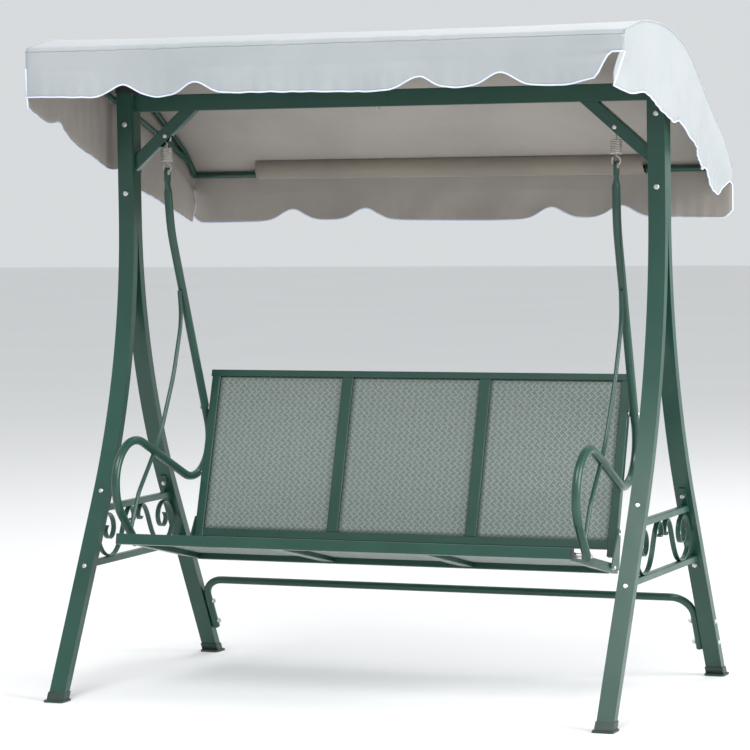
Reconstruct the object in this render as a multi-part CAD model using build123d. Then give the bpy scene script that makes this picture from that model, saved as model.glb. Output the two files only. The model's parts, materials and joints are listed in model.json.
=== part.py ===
from build123d import *
import os
from math import asin, atan2, cos, degrees, radians, sin, sqrt, tan

# Three-seat canopy patio swing. Millimetres; X to the sitter's left-right, -Y is the front, +Z up.
# The origin is on the ground, under the top beam and midway between the two end frames.

os.makedirs("parts", exist_ok=True)

# ---------------------------------------------------------------- driving dimensions
LEG_SPACING = 1600.0        # between the centre lines of the two end frames
LEG_WIDTH = 48.0            # leg tube, across X
LEG_DEPTH = 26.0            # leg tube, through the bend
LEG_WALL = 1.5
LEG_TOP = 1690.0
BEND_START = 1347.0         # height where each leg leaves the vertical
BEND_RADIUS = 1739.0
LEG_SPLAY = 28.25           # degrees from the vertical below the bend

BEAM_HEIGHT = 48.0
BEAM_DEPTH = 26.0
BEAM_TOP = 1684.0
BRACE_HEIGHT = 35.0
BRACE_DEPTH = 26.0
BRACE_ANGLE = 41.0          # from the horizontal
BRACE_AT_BEAM = 606.0       # where the brace's centre line meets the beam's underside

HANG_X = 678.0              # the springs and the tops of the hangers
HOOK_BOLT_Z = 1566.0        # bolt through the brace that carries the spring
HOOK_BOLT_R = 4.0
WIRE_R = 2.25
HOOK_R = 12.0               # mean radius of the spring's end rings
COIL_R = 14.0
COIL_TOP = 1533.0
COIL_BOTTOM = 1491.0
COIL_TURNS = 8
BUSH_R = 7.5
BUSH_BORE_R = 6.0
BUSH_LENGTH = 9.0

HANGER_R = 12.0
HANGER_WALL = 1.2
ROD_R = 6.0

SEAT_TILT = 11.7            # the seat falls towards the back
SEAT_FRONT = (-370.0, 443.0)    # centre of the front rail, as (Y, Z)
SEAT_DEPTH = 440.0
FRONT_RAIL_HALF = 667.0
SEAT_HALF = 643.0           # outer face of the seat's side rails
RAIL_HEIGHT = 30.0
RAIL_DEPTH = 22.0
SIDE_RAIL_WIDTH = 20.0
BACK_LEAN = 17.4
BACK_FOOT = (78.0, 415.0)   # centre of the back's bottom rail, as (Y, Z)
BACK_HEIGHT = 486.0
BACK_RAIL_WIDTH = 26.0
BACK_DIVIDER_WIDTH = 34.0
DIVIDER_X = 212.0
FRAME_WALL = 1.5
SEAT_WALL = 1.2
TOP_RAIL_WALL = 1.8
ROD_WALL = 1.2
SLING_THICK = 2.0

SIDE_BAR = 18.0             # height of the bars between front and rear legs
SIDE_BAR_WIDTH = 20.0
UPPER_BAR_Z = 509.0
LOWER_BAR_Z = 360.0
TAB = 4.0

STRETCHER_R = 11.0
STRETCHER_Z = 237.0
STRETCHER_BOTTOM = 84.0

CANOPY_TUBE_R = 8.0
CANOPY_BAR_R = 9.0
CANOPY_X = 836.0            # centre line of the canopy's side tubes
PIVOT_Y, PIVOT_Z = -13.0, 1672.0
FABRIC = 2.0
FABRIC_HALF = 862.0

SIDES = {"left": -1, "right": 1}

splay = radians(LEG_SPLAY)
leg_x = LEG_SPACING / 2
leg_inner_x = leg_x - LEG_WIDTH / 2
leg_outer_x = leg_x + LEG_WIDTH / 2
bend_end_z = BEND_START - BEND_RADIUS * sin(splay)
bend_end_y = LEG_DEPTH / 2 + BEND_RADIUS * (1 - cos(splay))
foot_y = bend_end_y + bend_end_z * tan(splay)       # leg centre line at the ground


def leg_angle(z):
    """A leg's angle from the vertical at a height."""
    return min(splay, asin(max(0.0, (BEND_START - z) / BEND_RADIUS)))


def leg_y(z):
    """Distance of a leg's centre line from the middle plane."""
    if z < bend_end_z:
        return foot_y - z * tan(splay)
    return LEG_DEPTH / 2 + BEND_RADIUS * (1 - cos(leg_angle(z)))


def save(name, *solids):
    shape = solids[0] if len(solids) == 1 else Compound(children=list(solids))
    export_step(shape, f"parts/{name}.step")


def side_prism(points, x0, x1):
    """A prism along X from an outline given as (Y, Z) points."""
    face = make_face(Polyline([(0, y, z) for y, z in points], close=True))
    return extrude(Pos(x0, 0, 0) * face, x1 - x0, dir=(1, 0, 0))


def rod(start, end, radius, bore=0.0):
    """A round bar or tube between two points."""
    start, end = Vector(*start), Vector(*end)
    plane = Plane(start, z_dir=end - start)
    length = (end - start).length
    body = extrude(plane * Circle(radius), length)
    if bore:
        body -= extrude(plane * Circle(bore), length)
    return body


def box_tube(plane, width, height, length, wall=FRAME_WALL, corner=2.5):
    """A rectangular tube along the plane's normal, starting on the plane."""
    outer = extrude(plane * RectangleRounded(width, height, corner), length)
    bore = plane * RectangleRounded(width - 2 * wall, height - 2 * wall, corner - wall + 0.5)
    return outer - extrude(bore, length)


def swept_tube(path, radius, wall):
    """A round tube along a path."""
    end = Plane(path @ 0, z_dir=path % 0)
    return sweep(end * Circle(radius), path) - sweep(end * Circle(radius - wall), path)


def fastener(start, direction, grip, shank=4.0, head=8.0):
    """A domed bolt and its hexagon nut; start is the face under the head."""
    plane = Plane(start, z_dir=direction)
    dome = extrude(plane * Circle(head), -head * 0.5)
    rim = dome.faces().sort_by(Axis(start, direction))[0].edges()
    dome = fillet(rim, head * 0.42)
    bolt = dome + extrude(plane * Circle(shank), grip + 9)
    seat = plane.offset(grip)
    nut = extrude(seat * RegularPolygon(shank * 1.85, 6), 6.5) - extrude(seat * Circle(shank), 6.5)
    return [bolt, nut]


def hole(start, direction, length, radius=4.05):
    start, direction = Vector(*start), Vector(*direction).normalized()
    return rod(tuple(start - direction * 2), tuple(start + direction * (length + 2)), radius)


# ---------------------------------------------------------------- end frames: legs, feet, caps
def leg_edges(offset, z_foot):
    """One face line of a front leg, seen from the side, at an offset towards the front."""
    y_top = -(LEG_DEPTH / 2 + offset)
    y_centre = -(LEG_DEPTH / 2 + BEND_RADIUS)
    r = BEND_RADIUS - offset
    arc = [(0, y_centre + r * cos(a), BEND_START - r * sin(a)) for a in (0, splay / 2, splay)]
    drop = arc[2][2] - z_foot
    foot = (0, arc[2][1] - drop * tan(splay), z_foot)
    return (0, y_top, LEG_TOP), arc, foot


def leg_bar(outer, inner, width, z_foot):
    """The outline between two face lines of a front leg, extruded across its width."""
    top_a, arc_a, foot_a = leg_edges(outer, z_foot)
    top_b, arc_b, foot_b = leg_edges(inner, z_foot)
    outline = [
        Line(top_a, arc_a[0]), ThreePointArc(*arc_a), Line(arc_a[2], foot_a), Line(foot_a, foot_b),
        Line(foot_b, arc_b[2]), ThreePointArc(*reversed(arc_b)), Line(arc_b[0], top_b), Line(top_b, top_a),
    ]
    return extrude(make_face(outline), width / 2, dir=(1, 0, 0), both=True)


TOP_BOLT_Z = (1601.0, 1403.0)
PANEL_BOLT_Z = (554.0, 351.0)       # on the leg's centre line
STRETCHER_BOLT_Z = (167.0, 103.0)


def panel_bolt(z):
    """Start on a front leg's outer face, and direction square to the leg, of a side bar's bolt."""
    a = leg_angle(z)
    inwards = Vector(0, cos(a), -sin(a))
    start = Vector(0, -leg_y(z), z) - inwards * (LEG_DEPTH / 2 + 0.15)
    return tuple(start), tuple(inwards)


def front_leg():
    half, bore = LEG_DEPTH / 2, LEG_DEPTH / 2 - LEG_WALL
    leg = leg_bar(half, -half, LEG_WIDTH, 3) - leg_bar(bore, -bore, LEG_WIDTH - 2 * LEG_WALL, 3)
    for z in TOP_BOLT_Z:
        leg -= hole((0, -LEG_DEPTH, z), (0, 1, 0), LEG_DEPTH)
    for z in PANEL_BOLT_Z:
        leg -= hole(*panel_bolt(z), LEG_DEPTH)
    return leg


def foot_cap():
    """A moulded cap for a front leg: a socket round the tube on a wider plate."""
    half = (LEG_DEPTH / 2 + 2) / cos(splay)
    socket = [(-leg_y(z) + s * half, z) for z, s in ((3, -1), (3, 1), (26, 1), (26, -1))]
    plate = Pos(0, -foot_y, 3) * Box(60, 58, 6)
    plate = fillet(plate.edges().filter_by(Axis.Z), 8)
    cap = plate + side_prism(socket, -LEG_WIDTH / 2 - 2.5, LEG_WIDTH / 2 + 2.5)
    inside = half - 2 / cos(splay)
    bore = [(-leg_y(z) + s * inside, z) for z, s in ((3, -1), (3, 1), (30, 1), (30, -1))]
    return cap - side_prism(bore, -LEG_WIDTH / 2, LEG_WIDTH / 2)


def top_cap():
    """The plastic cap over the pair of leg tops."""
    cap = Pos(0, 0, LEG_TOP + 17) * Box(LEG_WIDTH + 5, 2 * LEG_DEPTH + 6, 34)
    cap = fillet(cap.edges().group_by(Axis.Z)[-1], 8)
    plug = Pos(0, 0, LEG_TOP - 6)
    for y in (-LEG_DEPTH / 2, LEG_DEPTH / 2):
        cap += plug * Pos(0, y, 0) * Box(LEG_WIDTH - 2 * LEG_WALL - 1, LEG_DEPTH - 2 * LEG_WALL - 1, 12)
    return cap


PIVOT_R = 4.0
leg = front_leg()
rear_leg = mirror(leg, about=Plane.XZ)
for z in STRETCHER_BOLT_Z:
    rear_leg -= hole((-LEG_WIDTH / 2, leg_y(z), z), (1, 0, 0), LEG_WIDTH)
cap = foot_cap()
feet, top_caps = [], []
for side, s in SIDES.items():
    at = Pos(s * leg_x, 0, 0)
    pivot = hole((s * (leg_outer_x + 2), PIVOT_Y, PIVOT_Z), (-s, 0, 0), 12)
    save(f"front_leg_{side}", at * leg - pivot)
    save(f"rear_leg_{side}", at * rear_leg)
    top_caps.append(at * top_cap())
    feet += [at * cap, at * mirror(cap, about=Plane.XZ)]
save("foot_caps", *feet)
save("leg_top_caps", *top_caps)

bolts = []
for s in SIDES.values():
    for z in TOP_BOLT_Z:
        bolts += fastener((s * leg_x, -LEG_DEPTH, z), (0, 1, 0), 2 * LEG_DEPTH)
save("leg_bolts", *bolts)


# ---------------------------------------------------------------- top beam, braces, spring bolts
beam_z = BEAM_TOP - BEAM_HEIGHT / 2
beam_under = BEAM_TOP - BEAM_HEIGHT
PLATE = 3.0
beam_end = leg_inner_x - PLATE
SPLICE_X = 12.0             # where the right half's reduced end goes into the left half
SPLICE_BOLT_X = -20.0

along_x = Plane((0, 0, beam_z), x_dir=(0, 1, 0), z_dir=(1, 0, 0))
left_beam = box_tube(along_x.offset(-beam_end), BEAM_DEPTH, BEAM_HEIGHT, beam_end + SPLICE_X)
right_beam = box_tube(along_x.offset(SPLICE_X + 0.3), BEAM_DEPTH, BEAM_HEIGHT, beam_end - SPLICE_X - 0.3)
spigot = box_tube(along_x.offset(-70), BEAM_DEPTH - 3.4, BEAM_HEIGHT - 3.4, 84, corner=2)
collar = Pos(SPLICE_X + 1.3, 0, beam_z) * (Box(2, BEAM_DEPTH - 1, BEAM_HEIGHT - 1)
                                           - Box(3, BEAM_DEPTH - 7, BEAM_HEIGHT - 7))
splice_hole = hole((SPLICE_BOLT_X, 0, BEAM_TOP), (0, 0, -1), BEAM_HEIGHT)
save("top_beam_left", left_beam - splice_hole)
save("top_beam_right", right_beam + collar + spigot - splice_hole)


def beam_brace():
    """Right-hand corner brace with the plate that joins it and the beam to the legs."""
    slope = radians(BRACE_ANGLE)
    direction = Vector(cos(slope), 0, -sin(slope))
    start = Vector(BRACE_AT_BEAM, 0, beam_under) - direction * 60
    plane = Plane(start, x_dir=(0, 1, 0), z_dir=direction)
    tube = box_tube(plane, BRACE_DEPTH, BRACE_HEIGHT, 360)
    keep = Pos((400 + beam_end) / 2, 0, (beam_under + 1300) / 2) * Box(beam_end - 400, 60, beam_under - 1300)
    tube &= keep
    slot = Pos(HANG_X, 0, HOOK_BOLT_Z - 17) * Box(36, BRACE_DEPTH - 2 * FRAME_WALL - 1, 42)
    return tube - slot - hole((HANG_X, -BRACE_DEPTH / 2, HOOK_BOLT_Z), (0, 1, 0), BRACE_DEPTH)


def brace_plate():
    return Pos(beam_end + PLATE / 2, 0, (BEAM_TOP + 1462) / 2) * Box(PLATE, 46, BEAM_TOP - 1462)


hook_bolts, end_plates = [], []
for side, s in SIDES.items():
    brace = beam_brace()
    plate = brace_plate()
    if s < 0:
        brace, plate = (mirror(part, about=Plane.YZ) for part in (brace, plate))
    save(f"beam_brace_{side}", brace)
    end_plates.append(plate)
    hook_bolts += fastener((s * HANG_X, -BRACE_DEPTH / 2, HOOK_BOLT_Z), (0, 1, 0), BRACE_DEPTH, head=6.5)
hook_bolts += fastener((SPLICE_BOLT_X, 0, BEAM_TOP), (0, 0, -1), BEAM_HEIGHT, head=6.5)
save("beam_bolts", *hook_bolts)
save("beam_end_plates", *end_plates)


# ---------------------------------------------------------------- side bars and scrolls
def leg_tab(low, high):
    """A plate that lies along the front leg's inner face between two heights."""
    half = LEG_DEPTH / 2
    strip = leg_bar(-half, -half - TAB, SIDE_BAR_WIDTH, 3)
    return strip & (Pos(0, -leg_y(low), (low + high) / 2) * Box(60, 200, high - low))


def side_bar(z, tab_low, tab_high):
    """A bar between the legs, with a welded tab on each end."""
    reach = leg_y(z) + 40
    plane = Plane((0, -reach, z), x_dir=(1, 0, 0), z_dir=(0, 1, 0))
    bar = box_tube(plane, SIDE_BAR_WIDTH, SIDE_BAR, 2 * reach)
    beyond = leg_bar(LEG_DEPTH / 2 + 200, -LEG_DEPTH / 2 - TAB + 0.5, 80, 3)
    bar = bar - beyond - mirror(beyond, about=Plane.XZ)
    tab = leg_tab(tab_low, tab_high)
    return bar + tab + mirror(tab, about=Plane.XZ)


SCROLL_THICK = 4.0
SCROLL_WIDTH = 14.0


def scroll_ribbon(points, thick=SCROLL_THICK, width=SCROLL_WIDTH):
    """A bent flat bar whose centre line follows (Y, Z) points."""
    left, right = [], []
    for i, (y, z) in enumerate(points):
        y0, z0 = points[max(i - 1, 0)]
        y1, z1 = points[min(i + 1, len(points) - 1)]
        d = sqrt((y1 - y0) ** 2 + (z1 - z0) ** 2)
        ny, nz = -(z1 - z0) / d * thick / 2, (y1 - y0) / d * thick / 2
        left.append((y + ny, z + nz))
        right.append((y - ny, z - nz))
    return side_prism(left + right[::-1], -width / 2, width / 2)


SCROLL_TOP = UPPER_BAR_Z - SIDE_BAR / 2 - SCROLL_THICK / 2 - 0.2
SCROLL_LOW = LOWER_BAR_Z + SIDE_BAR / 2 + SCROLL_THICK / 2 + 0.2


def scroll():
    """One S-scroll; its runs are joined by a smooth curve."""
    guide = [(32, 462), (22, 456), (14, 466), (20, 486), (37, SCROLL_TOP), (56, 488), (82, 448),
             (108, 402), (140, 375), (178, SCROLL_LOW), (219, 392), (237, 432), (220, 474),
             (186, 493), (152, 478), (142, 450), (156, 424), (180, 422), (194, 440), (184, 457)]
    curve = Spline([(0, y, z) for y, z in guide])
    steps = 90
    pts = [curve @ (i / steps) for i in range(steps + 1)]
    return scroll_ribbon([(p.Y, min(max(p.Z, SCROLL_LOW), SCROLL_TOP)) for p in pts])


UPPER_TAB = (UPPER_BAR_Z - SIDE_BAR / 2, UPPER_BAR_Z + 58)
LOWER_TAB = (LOWER_BAR_Z - 32, LOWER_BAR_Z + SIDE_BAR / 2)
upper_bar = side_bar(UPPER_BAR_Z, *UPPER_TAB)
lower_bar = side_bar(LOWER_BAR_Z, *LOWER_TAB)
panel_bolts = []
for z, bar_name in zip(PANEL_BOLT_Z, ("upper", "lower")):
    drill = hole(*panel_bolt(z), LEG_DEPTH + TAB)
    drill = drill + mirror(drill, about=Plane.XZ)
    bar = (upper_bar if bar_name == "upper" else lower_bar) - drill
    pair = fastener(*panel_bolt(z), LEG_DEPTH + TAB + 0.3, head=7)
    pair += [mirror(part, about=Plane.XZ) for part in pair]
    for side, s in SIDES.items():
        save(f"side_bar_{bar_name}_{side}", Pos(s * leg_x, 0, 0) * bar)
        panel_bolts += [Pos(s * leg_x, 0, 0) * part for part in pair]
save("side_bar_bolts", *panel_bolts)
rear_scroll = scroll()
for side, s in SIDES.items():
    at = Pos(s * leg_x, 0, 0)
    save(f"scrolls_{side}", at * rear_scroll, at * mirror(rear_scroll, about=Plane.XZ))


# ---------------------------------------------------------------- rear stretcher
stretcher_x = leg_inner_x - STRETCHER_R
corner_y = leg_y(STRETCHER_Z)
end_y = leg_y(STRETCHER_BOTTOM)
stretcher_path = FilletPolyline(
    (-stretcher_x, end_y, STRETCHER_BOTTOM), (-stretcher_x, corner_y, STRETCHER_Z),
    (stretcher_x, corner_y, STRETCHER_Z), (stretcher_x, end_y, STRETCHER_BOTTOM), radius=60)
stretcher = swept_tube(stretcher_path, STRETCHER_R, 1.5)
stretcher_bolts = []
for s in SIDES.values():
    for z in STRETCHER_BOLT_Z:
        start, towards = (s * leg_outer_x, leg_y(z), z), (-s, 0, 0)
        grip = LEG_WIDTH + 2 * STRETCHER_R
        stretcher -= hole(start, towards, grip)
        stretcher_bolts += fastener(start, towards, grip, head=6.5)
save("rear_stretcher", stretcher)
save("stretcher_bolts", *stretcher_bolts)


# ---------------------------------------------------------------- springs and their bushes
hook_top = HOOK_BOLT_Z + HOOK_BOLT_R + WIRE_R + 0.4
top_ring_z = hook_top - HOOK_R
low_ring_z = COIL_BOTTOM - WIRE_R - HOOK_R - 1
hook_low = low_ring_z - HOOK_R
pivot_low = hook_low - (BUSH_BORE_R - WIRE_R - 1.3)


NECK_R = 5.0                # bend from each end ring into its straight neck


def hook(neck_end):
    """An upright end ring round the origin, bent into a neck that runs straight down its axis."""
    reach = sqrt((HOOK_R + NECK_R) ** 2 - NECK_R ** 2)
    meet = degrees(atan2(-reach, -NECK_R))
    plane = Plane((0, 0, 0), x_dir=(1, 0, 0), z_dir=(0, -1, 0))
    ring = plane * CenterArc((0, 0, 0), HOOK_R, -45, 405 + meet)
    bend = plane * CenterArc((-NECK_R, -reach, 0), NECK_R, 180 + meet, -180 - meet)
    neck = Line((0, 0, -reach), (0, 0, -neck_end))
    path = Wire([ring, bend, neck])
    start = Plane(ring @ 0, z_dir=ring % 0)
    return sweep(start * Circle(WIRE_R), path)


def spring():
    """A close coil hung between two hooks whose necks run down inside it."""
    height = COIL_TOP - COIL_BOTTOM - 2 * WIRE_R
    base = (0, 0, COIL_BOTTOM + WIRE_R)
    helix = Helix(pitch=height / COIL_TURNS, height=height, radius=COIL_R, center=base)
    coil = sweep(Plane(helix @ 0, z_dir=helix % 0) * Circle(WIRE_R), helix, is_frenet=True)
    upper = Pos(0, 0, top_ring_z) * hook(top_ring_z - COIL_TOP + 6)
    lower = Pos(0, 0, low_ring_z) * Rot(0, 180, 0) * hook(COIL_BOTTOM + 10 - low_ring_z)
    return [coil, upper, lower]


spring_parts = spring()
bushes = []
for side, s in SIDES.items():
    save(f"spring_{side}", *[Pos(s * HANG_X, 0, 0) * part for part in spring_parts])
    ends = [(s * HANG_X + dx, 0, pivot_low) for dx in (-BUSH_LENGTH / 2, BUSH_LENGTH / 2)]
    bushes.append(rod(*ends, BUSH_R, BUSH_BORE_R))
save("hanger_bushes", *bushes)


# ---------------------------------------------------------------- hangers with armrests, brace rods
HANGER_LEAN = 0.0148        # the hangers close in towards the seat, per unit of height
HANGER_TOE = 0.035          # and open out towards the front, per unit of depth
EYE_HALF = 14.0
EYE_THICK = 8.0
FLAT_BOTTOM = 1436.0
TUBE_TOP = 1404.0
BRACE_CORNERS = [(51, 1120), (58, 1035), (0, 880), (-95, 705), (-230, 560), (-286, 454)]
BRACE_RADII = [200, 500, 400, 120]


def side_plane(s):
    """The plane a hanger is bent in: its axes are (rearwards, up), its origin the lower pivot."""
    up = Vector(s * HANGER_LEAN, 0, 1)
    rearwards = Vector(-s * HANGER_TOE, 1, 0)
    return Plane((s * HANG_X, 0, pivot_low), x_dir=rearwards, z_dir=rearwards.cross(up))


def hanger_x(y, z):
    """Distance of the hanger's plane from the middle of the swing."""
    return HANG_X - HANGER_LEAN * (pivot_low - z) - HANGER_TOE * y


def hanger_points():
    """Corners of the bent tube, as (Y, Z): hanger, turn behind the arm, armrest, front loop, end."""
    return [(0, TUBE_TOP), (10, 1296), (290, 479), (-361, 772.7), (-361, 539), (-254, 418)]


def hanger_path(s):
    plane = side_plane(s)
    pts = [plane.from_local_coords((y, (z - pivot_low))) for y, z in hanger_points()]
    return FilletPolyline(*pts, radius=[400, 115, 118, 115])


def hanger(s):
    tube = swept_tube(hanger_path(s), HANGER_R, HANGER_WALL)
    flat = Pos(s * HANG_X, 0, 0)
    round_end = Plane(hanger_path(s) @ 0, z_dir=-(hanger_path(s) % 0)) * Circle(HANGER_R)
    section = RectangleRounded(EYE_THICK, 2 * EYE_HALF, EYE_THICK / 2 - 0.1)
    pressed = flat * Plane((0, 0, FLAT_BOTTOM)) * section
    neck = loft([round_end, pressed])
    eye_middle = Pos(0, 0, (FLAT_BOTTOM + pivot_low) / 2)
    eye = flat * eye_middle * Box(EYE_THICK, 2 * EYE_HALF, pivot_low - FLAT_BOTTOM)
    end = (s * HANG_X - EYE_THICK / 2, 0, pivot_low), (s * HANG_X + EYE_THICK / 2, 0, pivot_low)
    eye += rod(*end, EYE_HALF)
    eye -= hole((s * HANG_X - EYE_THICK / 2, 0, pivot_low), (1, 0, 0), EYE_THICK, radius=BUSH_R + 0.05)
    return tube + neck + eye


def hanger_brace(s):
    """The thin brace, welded in two lengths: hanger to armrest, and armrest down to its own foot."""
    plane = side_plane(s)
    pts = [plane.from_local_coords((y, z - pivot_low)) for y, z in BRACE_CORNERS]
    brace = swept_tube(FilletPolyline(*pts, radius=BRACE_RADII), ROD_R, ROD_WALL)
    path = hanger_path(s)
    brace -= sweep(Plane(path @ 0, z_dir=path % 0) * Circle(HANGER_R + 0.1), path)
    return brace.solids().sort_by(SortBy.VOLUME)[-2:]


# ---------------------------------------------------------------- seat frame
tilt = radians(SEAT_TILT)
seat_plane = Plane((0, *SEAT_FRONT), x_dir=(1, 0, 0), z_dir=(0, sin(tilt), cos(tilt)))
lean = radians(BACK_LEAN)
back_plane = Plane((0, *BACK_FOOT), x_dir=(1, 0, 0), z_dir=(0, -cos(lean), sin(lean)))


def seat_at(x, depth, height):
    """A point on the seat frame, from its distance behind the front rail and above its middle."""
    return seat_plane.from_local_coords((x, depth, height))


def back_at(x, height, forward):
    return back_plane.from_local_coords((x, height, forward))


def across(plane_point, base, width, height, half, wall=FRAME_WALL):
    """A rail along X, centred on X = 0, with its section turned with the base plane."""
    plane = Plane(plane_point, x_dir=base.y_dir, z_dir=(1, 0, 0)).offset(-half)
    return box_tube(plane, width, height, 2 * half, wall)


def lengthways(base, x, start, end, level, width, height, wall=FRAME_WALL):
    """A rail that runs along the base plane's own Y at a given X."""
    origin = base.from_local_coords((x, start, level))
    plane = Plane(origin, x_dir=(1, 0, 0), z_dir=base.y_dir)
    return box_tube(plane, width, height, end - start, wall)


rail_gap = RAIL_DEPTH / 2
rear_s = SEAT_DEPTH
side_x = SEAT_HALF - SIDE_RAIL_WIDTH / 2
seat_front = across(seat_at(0, 0, 0), seat_plane, RAIL_DEPTH, RAIL_HEIGHT, FRONT_RAIL_HALF, SEAT_WALL)
seat_rear = across(seat_at(0, rear_s, 0), seat_plane, RAIL_DEPTH, RAIL_HEIGHT,
                   SEAT_HALF - SIDE_RAIL_WIDTH - 0.2)
SEAT_SIDE_END = SEAT_DEPTH + 24
SIDE_RAIL_HEIGHT = 26.0
seat_sides = {side: lengthways(seat_plane, s * side_x, rail_gap, SEAT_SIDE_END, 0, SIDE_RAIL_WIDTH,
                               SIDE_RAIL_HEIGHT, SEAT_WALL) for side, s in SIDES.items()}
for side, s in SIDES.items():
    divider = lengthways(seat_plane, s * DIVIDER_X, rail_gap, rear_s - rail_gap, 0,
                         BACK_DIVIDER_WIDTH, RAIL_DEPTH, SEAT_WALL)
    save(f"seat_divider_{side}", divider)


# ---------------------------------------------------------------- back frame
back_side_x = SEAT_HALF + 2 - BACK_RAIL_WIDTH / 2
BACK_RAIL_DEPTH = 22.0
TOP_RAIL = 20.0
BACK_LEG = 30.0             # how far the side rails run on below the bottom rail
back_side_foot = -BACK_LEG
back_top_h = BACK_HEIGHT - TOP_RAIL / 2
back_top = across(back_at(0, back_top_h, 0), back_plane, TOP_RAIL, BACK_RAIL_DEPTH, back_side_x + 13,
                  TOP_RAIL_WALL)
back_bottom = across(back_at(0, 0, 0), back_plane, 24, BACK_RAIL_DEPTH - 4,
                     back_side_x - BACK_RAIL_WIDTH / 2 - 0.2)
back_sides = {side: lengthways(back_plane, s * back_side_x, back_side_foot, back_top_h - TOP_RAIL / 2, 0,
                               BACK_RAIL_WIDTH, BACK_RAIL_DEPTH) for side, s in SIDES.items()}
for side, s in SIDES.items():
    divider = lengthways(back_plane, s * DIVIDER_X, 12, back_top_h - TOP_RAIL / 2, 0,
                         BACK_DIVIDER_WIDTH, BACK_RAIL_DEPTH - 2)
    save(f"back_divider_{side}", divider)


# ---------------------------------------------------------------- slings
def sling(base, x0, x1, y0, y1, level):
    """A taut mesh panel between two rails."""
    origin = base.from_local_coords(((x0 + x1) / 2, (y0 + y1) / 2, level))
    plane = Plane(origin, x_dir=base.x_dir, z_dir=base.z_dir)
    return extrude(plane * Rectangle(x1 - x0, y1 - y0), SLING_THICK / 2, both=True)


edge = DIVIDER_X - BACK_DIVIDER_WIDTH / 2 - 0.3
outer_edge = DIVIDER_X + BACK_DIVIDER_WIDTH / 2 + 0.3
seat_inner = SEAT_HALF - SIDE_RAIL_WIDTH - 0.3
back_inner = back_side_x - BACK_RAIL_WIDTH / 2 - 0.3
for name, (x0, x1), (b0, b1) in (
        ("left", (-seat_inner, -outer_edge), (-back_inner, -outer_edge)),
        ("middle", (-edge, edge), (-edge, edge)),
        ("right", (outer_edge, seat_inner), (outer_edge, back_inner))):
    save(f"seat_sling_{name}", sling(seat_plane, x0, x1, rail_gap + 5, rear_s - rail_gap - 5, 4))
    save(f"back_sling_{name}", sling(back_plane, b0, b1, 16, back_top_h - TOP_RAIL / 2 - 3, 2))


# ---------------------------------------------------------------- seat joints: plates, bolts, plugs
BRACKET = 4.0
SMALL_SHANK = 3.0
ARM_BOLTS_BACK = (177.2, 373.7)     # heights up the back where the hanger crosses it
ARM_BOLT_FRONT = (-260.0, 424.7)    # bolt through the armrest's lower end, as (Y, Z)


def back_bracket(s):
    """The flat plate that ties a back side rail to a seat side rail, on their outer faces."""
    corners = [seat_at(0, rear_s - 46, 0), seat_at(0, SEAT_SIDE_END - 4, -4),
               back_at(0, 44, -8), back_at(0, 46, 10)]
    inner = s * (SEAT_HALF + 2.3)
    outer = inner + s * BRACKET
    return side_prism([(v.Y, v.Z) for v in corners], min(inner, outer), max(inner, outer))


def rail_bolt(s, outer_x, rail_x, y, z):
    """A domed bolt into a threaded insert in a side rail, with washers that fill any gap outside it."""
    grip = outer_x - rail_x
    start = (s * (outer_x + 0.5), y, z)
    bolt, _ = fastener(start, (-s, 0, 0), grip, shank=SMALL_SHANK, head=6)
    insert = rod((s * (rail_x - FRAME_WALL), y, z), (s * (rail_x - 13), y, z), 5.5, SMALL_SHANK)
    return [bolt, insert]


def washer(s, x0, x1, y, z):
    return rod((s * x0, y, z), (s * x1, y, z), 8, SMALL_SHANK + 0.1)


seat_bolts, brackets = [], []
for side, s in SIDES.items():
    arm = hanger(s)
    plate = back_bracket(s)
    side_rail, back_rail = seat_sides[side], back_sides[side]
    plate_x = SEAT_HALF + 2.3 + BRACKET
    for point, rail_x in ((seat_at(0, rear_s - 22, 0), SEAT_HALF), (back_at(0, 30, 2), SEAT_HALF + 2)):
        depth = plate_x - rail_x + 4
        drill = hole((s * plate_x, point.Y, point.Z), (-s, 0, 0), depth, radius=SMALL_SHANK + 0.05)
        plate = plate - drill
        side_rail, back_rail = side_rail - drill, back_rail - drill
        seat_bolts += rail_bolt(s, plate_x, rail_x, point.Y, point.Z)
    seat_bolts.append(washer(s, SEAT_HALF + 0.1, SEAT_HALF + 2.2, *tuple(seat_at(0, rear_s - 22, 0))[1:]))
    brackets.append(plate)
    crossings = [back_at(0, height, 0) for height in ARM_BOLTS_BACK]
    arm_bolts = [(point.Y, point.Z, SEAT_HALF + 2) for point in crossings] + [(*ARM_BOLT_FRONT, SEAT_HALF)]
    for y, z, rail_x in arm_bolts:
        arm_x = hanger_x(y, z)
        outer_x = arm_x + HANGER_R
        drill = hole((s * outer_x, y, z), (-s, 0, 0), outer_x - rail_x + 4, radius=SMALL_SHANK + 0.05)
        arm, back_rail, side_rail = arm - drill, back_rail - drill, side_rail - drill
        seat_bolts += rail_bolt(s, outer_x, rail_x, y, z)
        gap = arm_x - HANGER_R - rail_x
        if gap > 0.6:
            seat_bolts.append(washer(s, rail_x + 0.1, rail_x + gap - 0.5, y, z))
    save(f"hanger_arm_{side}", arm)
    save(f"hanger_brace_{side}", *hanger_brace(s))
    save(f"seat_side_rail_{side}", side_rail)
    save(f"back_side_rail_{side}", back_rail)
save("back_brackets", *brackets)
save("seat_front_rail", seat_front)
save("seat_rear_rail", seat_rear)
save("back_top_rail", back_top)
save("back_bottom_rail", back_bottom)
save("seat_bolts", *seat_bolts)


def plug(plane, width, height, wall=FRAME_WALL):
    """A black end plug: a rim over the tube's end and a shank inside it."""
    rim = extrude(plane * RectangleRounded(width, height, 2.4), 3)
    inner = plane * RectangleRounded(width - 2 * wall - 0.6, height - 2 * wall - 0.6, 1)
    return rim + extrude(inner, -9)


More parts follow.
